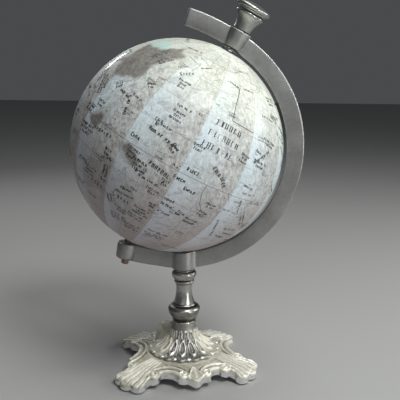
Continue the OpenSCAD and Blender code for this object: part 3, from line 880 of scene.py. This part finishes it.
def inside_any(shapes, lon, lat):
    """1 inside any of the shapes, 0 outside them."""
    inside = np.zeros(len(lon), bool)
    for coast in shapes:
        west, low = np.min(coast, 0)
        east, high = np.max(coast, 0)
        for shift in (0, -360):
            x = lon + shift
            near = np.flatnonzero((x > west) & (x < east) & (lat > low) & (lat < high))
            odd = np.zeros(len(near), bool)
            px, py = x[near], lat[near]
            for (x0, y0), (x1, y1) in zip(coast, coast[1:]):
                if y0 != y1:
                    odd ^= ((y0 > py) != (y1 > py)) & (px < x0 + (py - y0) / (y1 - y0) * (x1 - x0))
            inside[near] |= odd
    return inside.astype(float)


def paper_skin():
    """The varnished paper: a fine outer face, a coarse inner face, and an opening at each pole."""
    around = 400
    lats = np.linspace(-87.2, 87.5, 198)
    inner = np.linspace(87.5, -87.2, 36)
    lon = np.arange(around) * 360 / around
    rows = [(b, R) for b in lats] + [(b, R - 0.28) for b in inner]
    verts = np.concatenate([toward(np.full(around, b), lon) * radius for b, radius in rows])
    grid_lat, grid_lon = np.repeat(lats, around), np.tile(lon, len(lats))
    pad = np.zeros(len(inner) * around)

    def shade(shapes, south=False):
        """How far each point lies inside the shapes, a little blurred."""
        area = inside_any(shapes, grid_lon, grid_lat)
        if south:
            area = np.maximum(area, grid_lat < southern_coast(grid_lon))
        area = area.reshape(len(lats), around)
        beside = [np.roll(area, shift, axis) for axis in (1, 0) for shift in (1, -1)]
        return np.concatenate([(sum(beside, area) / 5).ravel(), pad])

    piece("map_paper_skin", verts, hoop(len(rows), around), "globe", "map_paper", MAP,
          ["gores", "pole_papers"], axis_frame,
          land=shade(coasts[:-1], True), tint=shade(tinted), teal=shade(teal))


def map_material():
    """Aged, varnished paper: each gore is pale blue at its west edge and fades to a mottled grey beige."""
    s = Shader("map_paper_varnished", Coat_Weight=0.16, Coat_Roughness=0.06, Specular_IOR_Level=0.2)
    local = s.node("Mapping", {"Vector": s.place(), "Location": [float(c) * MM for c in GLOBE],
                               "Rotation": (0, TILT, 0)}, vector_type="TEXTURE")
    x, y, z = (Value(s, q) for q in s.node("SeparateXYZ", {"Vector": Value(s, local.outputs[0])}).outputs)
    across = s.math("FRACT", s.math("ARCTAN2", y, x) * (6 / math.pi) + (12 - 10.3 / 30))     # of each gore
    north = z * (1 / (R * MM))
    cloud = s.noise(30, 4, offset=3)
    grain = s.noise(430, 6, stretch=(1, 1, 0.6), roughness=0.8)
    fibre = s.noise(900, 3, stretch=(1, 0.5, 1), roughness=0.7)
    mottle = grain * 0.82 + s.noise(110, 5, roughness=0.65) * 0.18
    paper = s.ramp(mottle, (0.39, (0.23, 0.225, 0.21)), (0.50, (0.43, 0.44, 0.43)),
                   (0.60, (0.59, 0.61, 0.605)))
    blue = s.ramp(mottle, (0.34, (0.46, 0.53, 0.565)), (0.60, (0.64, 0.74, 0.79)))
    fade = s.ramp(across, (0.0, 1.0), (0.16, 0.95), (0.30, 0.66), (0.48, 0.34), (0.75, 0.10), (1.0, 0.0))
    fade = fade * s.ramp(cloud, (0.25, 0.7), (0.6, 1.0))
    colour = s.mix(fade, paper, blue)
    aged = s.mix(s.ramp(mottle, (0.36, 0.0), (0.6, 1.0)), (0.47, 0.50, 0.41), (0.73, 0.76, 0.67))
    colour = s.mix(s.ramp(north, (0.35, 0.0), (0.80, 0.75)), colour, aged)
    south = s.clamp(north * -1.0 + 0.12)
    colour = s.mix(south * 0.95, colour, s.mix(fade, (0.43, 0.35, 0.345), (0.58, 0.54, 0.61)))
    brown = s.ramp(mottle, (0.36, (0.075, 0.068, 0.06)), (0.60, (0.22, 0.20, 0.18)))
    colour = s.mix(s.attribute("land") * 0.22, colour, brown)
    colour = s.mix(s.attribute("tint") * 0.88, colour, brown)
    colour = s.mix(s.attribute("teal") * 0.85, colour, (0.40, 0.56, 0.52))
    stain = s.ramp(s.noise(60, 6, offset=11, roughness=0.65), (0.58, 0.0), (0.72, 0.26))
    speck = s.ramp(s.noise(1100, 2, offset=7), (0.60, 0.0), (0.70, 0.4))
    streaks = s.noise(420, 2, stretch=(0.22, 1, 1), offset=21, roughness=0.4)
    scratch = s.ramp(streaks, (0.64, 0.0), (0.70, 0.35))
    for amount, dirt in ((stain, (0.33, 0.29, 0.24)), (speck, (0.19, 0.17, 0.145)),
                         (scratch, (0.22, 0.21, 0.19))):
        colour = s.mix(amount, colour, dirt)
    seam = s.ramp(across, (0.0, 1.0), (0.006, 0.0), (0.995, 0.0), (1.0, 1.0))
    s.set(Base_Color=s.mix(seam * 0.35, colour, (0.74, 0.79, 0.80)), Roughness=mottle * 0.3 + 0.42)
    s.bump(fibre * 0.5 + (grain + seam), 0.35, 0.00008)
    return s.mat


def ink_material(name, dark, light):
    s = Shader(name, Coat_Weight=0.5, Coat_Roughness=0.1)
    s.set(Base_Color=s.mix(s.ramp(s.noise(330, 4), (0.35, 0.0), (0.7, 1.0)), dark, light),
          Roughness=s.noise(800, 2) * 0.2 + 0.35)
    return s.mat


class Ink:
    """Printed strokes, each a thin closed ribbon lying in the paper's surface."""

    def __init__(self):
        self.verts, self.faces, self.count = [], [], 0

    def line(self, directions, width, lift=0.03):
        """One stroke through directions from the ball's centre."""
        p = np.asarray(directions, float)
        p = p / np.linalg.norm(p, axis=1)[:, None]
        side = np.cross(p, np.gradient(p, axis=0))
        length = np.linalg.norm(side, axis=1)
        if length.min() < 1e-9:
            return
        side = side / length[:, None] * width / 2
        over, under = p * (R + lift), p * (R - 0.06)
        self.verts.append(np.stack([over - side, over + side, under + side, under - side], 1).reshape(-1, 3))
        start, end = self.count, self.count + 4 * (len(p) - 1)
        for a in range(start, end, 4):
            b = a + 4
            for k in range(4):
                q = (k + 1) % 4
                self.faces.append((a + k, b + k, b + q, a + q))
        self.faces.append((start, start + 1, start + 2, start + 3))
        self.faces.append((end + 3, end + 2, end + 1, end))
        self.count = end + 4

    def route(self, places, width, dash=0, lift=0.03):
        """Line through (latitude, longitude) places, whole or dashed."""
        points = []
        for (la0, lo0), (la1, lo1) in zip(places, places[1:]):
            shrink = math.cos(math.radians((la0 + la1) / 2))
            n = max(1, int(math.hypot(la1 - la0, (lo1 - lo0) * shrink) / 1.6))
            points += [(la0 + (la1 - la0) * k / n, lo0 + (lo1 - lo0) * k / n) for k in range(n)]
        points.append(places[-1])
        d = toward(*np.array(points).T)
        if not dash:
            return self.line(d, width, lift)
        for i in range(0, len(d) - 1, 2 * dash):
            self.line(d[i:i + dash + 1], width, lift)

    def mark(self, height, tall):
        """One unreadable letter-like mark: a stem and some ticks, in a box 0.6 wide and 1 tall."""
        top = 1.0 if tall else 0.72
        x = 0.06 if rng.random() < 0.8 else 0.28
        strokes = [(x, 0, x, top)]
        for y in rng.sample((0.04, 0.5, 0.96), rng.choice((1, 2, 2, 3))):
            run = rng.choice((0.30, 0.42, -0.25 if x > 0.2 else 0.46))
            strokes.append((x, y * top, x + run, (y + rng.choice((0, 0, 0, 0.2, -0.2))) * top))
        if rng.random() < 0.45:
            strokes.append((0.48, rng.choice((0, 0.4)) * top, 0.48, top))
        return [tuple(q * height for q in stroke) for stroke in strokes]

    def words(self, lat0, lon0, lat1, lon1, height, weight, lines=1, space=1.0, serif=False):
        """Rows of marks running from one place towards another."""
        a, b = toward(lat0, lon0), toward(lat1, lon1)
        centre = (a + b) / np.linalg.norm(a + b)
        along = (b - a) - centre * ((b - a) @ centre)
        length = R * math.acos(max(-1, min(1, float(a @ b))))
        along = along / np.linalg.norm(along)
        rise = np.cross(centre, along)
        step = height * 0.74 * space
        for row in range(lines):
            y0 = (lines - 1) / 2 * height * 1.45 - row * height * 1.45 - height / 2
            count = max(2, round(length * (1 if row == 0 else rng.uniform(0.55, 1.0)) / step))
            x0 = -count * step / 2
            gap = rng.randrange(3, 8)

            def at(i, x, y):
                return centre + (along * (x0 + i * step + x) + rise * (y0 + y)) / R

            for i in range(count):
                if i and i % gap == 0 and space == 1.0 and count > 7:
                    continue
                tall = serif or i == 0 or space > 1 or rng.random() < 0.2
                for sx0, sy0, sx1, sy1 in self.mark(height, tall):
                    upright = serif and abs(sy1 - sy0) > abs(sx1 - sx0)
                    bold = 1.25 if upright else 0.55 if serif else 1
                    self.line([at(i, sx0, sy0), at(i, sx1, sy1)], weight * bold)
                    for y in (sy0, sy1) if upright else ():              # serifs
                        foot = 0.13 * height
                        self.line([at(i, sx0 - foot, y), at(i, sx0 + foot, y)], weight * 0.6)

    def dot(self, lat, lon, size):
        d = toward(lat, lon)
        e = np.cross(d, (0, 0, 1.0))
        self.line([d - e * size / 2 / R, d + e * size / 2 / R], size)

    def finish(self, name, material):
        piece(name, np.concatenate(self.verts), self.faces, "globe", "map_paper", material, (), axis_frame,
              smooth=False)


# Rows of marks beside the places that a map names: latitude, longitude, rise, run, letter height, rows
PLACES = [
    # Japan, Korea, China and the seas south of them
    (41, 138, 5, 7, 2.4, 1), (37, 140, 0, 8, 1.7, 3), (44, 133, 4, 5, 1.5, 1), (27, 128, 2, 4, 1.6, 2),
    (40, 112, 11, 3, 1.6, 2), (40, 120, 8, 5, 1.8, 2), (35, 84, 0, 10, 1.7, 2), (18, 112, 3, 3, 1.7, 2),
    (18, 117, -1, 8, 1.8, 1), (20, 125, -1, 7, 1.5, 1),
    # the Bay of Bengal, Indochina, the Philippines, Java and Timor
    (15, 95, 7, -6, 1.7, 3), (10, 105, 11, -8, 1.8, 3), (9, 128, 10, -4, 2.3, 1), (2, 101, 0, 7, 1.9, 2),
    (7, 108, 0, 6, 1.8, 2), (-8, 103, 1, 13, 1.9, 3), (-10, 127, 0, 5, 2.0, 2), (-14, 127, 2, 6, 1.6, 1),
    # Palau, the Marianas, the Carolines and the Marshalls
    (22, 148, 0, 7, 1.7, 3), (27, 148, 0, 9, 1.7, 1), (28, 160, 0, 3, 1.5, 1), (11, 143, -2, 17, 2.4, 1),
    (15, 143, 0, 4, 1.8, 2), (15, 147, 0, 6, 1.8, 1), (9, 156, -2, 4, 2.0, 2), (4, 136, 0, 6, 2.4, 1),
    (14, 165, 0, 6, 1.8, 2),
    # New Guinea, the Solomons, Nauru and Tuvalu
    (-3, 138, -1, 7, 1.9, 3), (-5, 143, 0, 8, 2.1, 1), (-8, 144, 0, 8, 1.8, 2), (-11, 149, 0, 11, 1.8, 1),
    (1, 152, 0, 4, 1.4, 1), (2, 161, -1, 3, 1.4, 1), (3, 168, 0, 6, 2.3, 1), (-3, 164, 0, 6, 2.2, 1),
    (-6, 171, 0, 6, 2.2, 1), (-8, 160, 0, 4, 1.9, 2),
    # Australia and the Coral Sea
    (-22, 110, 0, 8, 1.6, 1), (-25, 116, 0, 10, 1.7, 3), (-16, 132, -10, 0, 1.8, 2),
    (-36, 103, 0, 13, 1.6, 2),
    (-39, 121, 0, 7, 1.6, 1), (-28, 138, -7, 4, 1.7, 3), (-15, 155, 0, 7, 1.7, 2), (-22, 143, 1, 7, 1.9, 1),
    (-25, 141, 1, 11, 1.8, 1), (-19, 148, 0, 4, 1.6, 1), (-29, 154, 0, 9, 1.6, 3), (-35, 145, 0, 6, 1.6, 2),
    (-34, 152, 0, 10, 1.6, 2), (-42, 141, 1, 12, 1.6, 3), (-44, 152, 1, 12, 1.6, 3),
    # New Caledonia, Vanuatu, Fiji, Tonga, Samoa and New Zealand
    (-22, 160, 0, 4, 1.6, 2), (-15, 165, 0, 6, 1.9, 1), (-18, 165, 0, 7, 1.9, 1), (-23, 168, 0, 5, 1.7, 1),
    (-18, 175, -1, 4, 1.8, 1), (-20, 174, 0, 3, 1.8, 1), (-21, 180, 0, 8, 1.8, 2), (-14, 184, -1, 5, 1.8, 2),
    (-9, 185, 0, 6, 1.6, 2), (-38, 168, 1, 13, 1.6, 1), (-42, 167, 1, 15, 1.6, 2), (-47, 185, 1, 15, 1.7, 1),
    # the Line Islands, the Cooks, Tahiti and Hawaii
    (7, 199, -1, 8, 1.6, 1), (3, 201, 0, 8, 1.6, 1), (-1, 203, -7, 3, 1.7, 1), (-8, 211, -7, 7, 1.8, 2),
    (-19, 207, 0, 11, 1.7, 1), (-22, 210, -1, 12, 1.7, 1), (-25, 207, -1, 9, 1.7, 1),
    (-15, 198, -11, 5, 1.7, 1),
    (-1, 210, 0, 11, 1.5, 1), (19, 190, -1, 6, 1.6, 3), (25, 200, -3, 9, 1.8, 1), (26, 211, -8, -11, 1.8, 1),
    (19, 200, -1, 11, 1.9, 2), (31, 205, -2, 11, 1.8, 2), (43, 202, -1, 14, 1.8, 1),
    # the Aleutians, the Kurils and Siberia
    (53, 171, -1, 8, 1.5, 1), (53, 184, 1, 11, 1.5, 1), (51, 146, 5, 8, 1.5, 1), (60, 118, 2, 16, 1.8, 1),
]
# Widely spaced names of regions: latitude, longitude, rise, run, letter height, space between letters
REGIONS = [
    (-4, 115, 1, 14, 2.0, 1.7), (-3, 151, -2, 12, 2.6, 1.2), (9, 179, -3, 5, 2.3, 1.1),
    (6, 185, -4, 4, 2.3, 1.1), (-29, 123, 0, 11, 2.2, 1.8), (-28, 143, 0, 9, 2.2, 1.6),
]
# The ocean's three big rows
OCEAN = [(29, 170, -1, 18), (23, 169, -1, 19), (17, 169, -1, 17)]

MAP = map_material()
paper_skin()

bold = Ink()
for lat, lon, rise, run, height, lines in PLACES:
    bold.words(lat, lon, lat + rise, lon + run, height, 0.35 + 0.38 * (height - 1.5), lines)
for lat, lon, rise, run, height, space in REGIONS:
    bold.words(lat, lon, lat + rise, lon + run, height, 0.26 * height, 1, space)
for lat, lon, rise, run in OCEAN:
    bold.words(lat, lon, lat + rise, lon + run, 3.4, 0.54, 1, 1.32, True)
for _ in range(150):                                       # the far side and the gaps, in the same hand
    lat, lon = math.degrees(math.asin(rng.uniform(-0.93, 0.93))), rng.uniform(212, 448)
    size = rng.choice((1.6, 1.7, 2.0, 2.3))
    end = lat + rng.choice((0, 0, 0, -4, 3)), lon + rng.uniform(5, 11) / math.cos(math.radians(lat))
    bold.words(lat, lon, *end, size, size * 0.22, rng.choice((1, 1, 2, 3)))
for _ in range(170):
    bold.dot(math.degrees(math.asin(rng.uniform(-0.95, 0.95))), rng.uniform(0, 360), rng.uniform(0.45, 0.8))
for line, width in (([(52, 180), (42, 179), (33, 179), (32, 195)], 0.5), ([(54, 131), (52, 144)], 0.35),
                    ([(58, 138), (56, 148)], 0.35), ([(64, 170), (65, 187)], 0.3),
                    ([(66, 184), (61, 173)], 0.3), ([(0, 180), (-5, 180), (-10, 182), (-13, 185)], 0.3)):
    bold.route(line, width)
for spot in ((-23, 166), (-20, 176), (-8, 161), (-10, 147), (9, 156), (-13, 133), (-22, 186), (39, 140)):
    bold.dot(*spot, 1.3)
bold.finish("map_lettering_marks", ink_material("map_ink_black", (0.02, 0.018, 0.017), (0.06, 0.053, 0.048)))

fine = Ink()
for coast in coasts:
    fine.line(toward(np.array(coast)[:, 1], np.array(coast)[:, 0]), 0.17)
for lon in range(0, 360, 15):
    fine.route([(lat, lon) for lat in range(-78, 79, 6)], 0.13, lift=0.02)
for lat in range(-75, 76, 15):
    fine.route([(lat, lon) for lon in range(0, 361, 10)], 0.26 if lat == 0 else 0.13, lift=0.02)
for track in ([(10, 176), (7, 182), (2, 190), (-6, 199)], [(36, 142), (41, 165), (43, 190), (40, 215)],
              [(18, 123), (14, 150), (19, 175), (21, 200)], [(-34, 152), (-36, 165), (-33, 176), (-18, 196)],
              [(0, 130), (-2, 150), (-8, 170), (-16, 190)], [(30, 125), (22, 135), (14, 143)],
              [(-10, 104), (-22, 98), (-33, 105), (-38, 120)], [(48, 158), (53, 170), (55, 190), (57, 205)],
              [(-45, 150), (-50, 170), (-48, 190)], [(40, 290), (45, 320), (50, 350)],
              [(-34, 18), (-10, 0), (20, 340), (40, 300)], [(12, 45), (0, 65), (-20, 57), (-33, 30)]):
    fine.route(track, 0.22, dash=2)
for _ in range(40):                                        # faint small rows between the bold words
    lat, lon = math.degrees(math.asin(rng.uniform(-0.8, 0.85))), rng.uniform(85, 215)
    fine.words(lat, lon, lat, lon + rng.uniform(3, 6), 1.3, 0.22, rng.choice((1, 2)))
for _ in range(90):                                        # small islands
    lat, lon = rng.uniform(-25, 22), rng.uniform(130, 225)
    fine.dot(lat, lon, rng.uniform(0.25, 0.5))
fine.finish("map_fine_lines", ink_material("map_ink_grey", (0.085, 0.078, 0.07), (0.17, 0.155, 0.14)))


# ---------------------------------------------------------------- floor, light, camera

def paper_floor():
    mesh = bpy.data.meshes.new("floor")
    mesh.from_pydata([(-4, -4, 0), (4, -4, 0), (4, 4, 0), (-4, 4, 0)], [], [(0, 1, 2, 3)])
    obj = bpy.data.objects.new("floor", mesh)
    bpy.context.scene.collection.objects.link(obj)
    mesh.materials.append(Shader("floor_paper", Roughness=0.8, Base_Color=(0.34, 0.34, 0.335)).mat)


def soft_light(name, place, aim, size, power, colour=(1, 1, 1)):
    light = bpy.data.lights.new(name, "AREA")
    light.shape = "RECTANGLE"
    light.size, light.size_y = size
    light.energy = power
    light.color = colour
    obj = bpy.data.objects.new(name, light)
    bpy.context.scene.collection.objects.link(obj)
    obj.location = place
    obj.rotation_euler = (Vector(aim) - Vector(place)).to_track_quat("-Z", "Y").to_euler()


paper_floor()
soft_light("key", (0.42, -0.42, 0.86), (0, 0, 0.17), (0.34, 0.26), 6.4, (0.98, 1.0, 0.985))
soft_light("overhead", (0.10, 0.02, 1.0), (0, 0, 0.12), (0.5, 0.4), 3.0, (0.99, 1.0, 0.97))
soft_light("strip", (0.80, -0.62, 0.26), (0, 0, 0.10), (0.10, 0.5), 3.0, (1.0, 1.0, 0.99))
soft_light("front", (-0.05, -1.15, 0.62), (0, 0, 0.2), (0.8, 0.35), 1.1, (0.97, 0.985, 1.0))
soft_light("side", (0.85, 0.20, 0.46), (0, 0, 0.10), (0.3, 0.3), 2.7, (1.0, 1.0, 0.99))
soft_light("window", (-0.46, 0.72, 0.56), (0, 0, 0.2), (0.15, 0.08), 0.9, (1.0, 1.0, 1.0))

world = bpy.data.worlds.new("studio")
bpy.context.scene.world = world
world.use_nodes = True
world.node_tree.nodes["Background"].inputs["Color"].default_value = (0.74, 0.77, 0.80, 1)
world.node_tree.nodes["Background"].inputs["Strength"].default_value = 0.09
bpy.context.scene.view_settings.view_transform = "Standard"

camera = bpy.data.cameras.new("camera")
camera.sensor_width = 36
camera.lens = 59.69
view = bpy.data.objects.new("camera", camera)
bpy.context.scene.collection.objects.link(view)
right, up = Vector((0.9938, 0.1114, 0.0053)), Vector((-0.0269, 0.1931, 0.9808))
back = right.cross(up).normalized()
view.matrix_world = Matrix((right, up, back)).transposed().to_4x4()
view.location = Vector((61.82, -471.78, 223.06)) * MM
camera.clip_start = 0.01
bpy.context.scene.camera = view
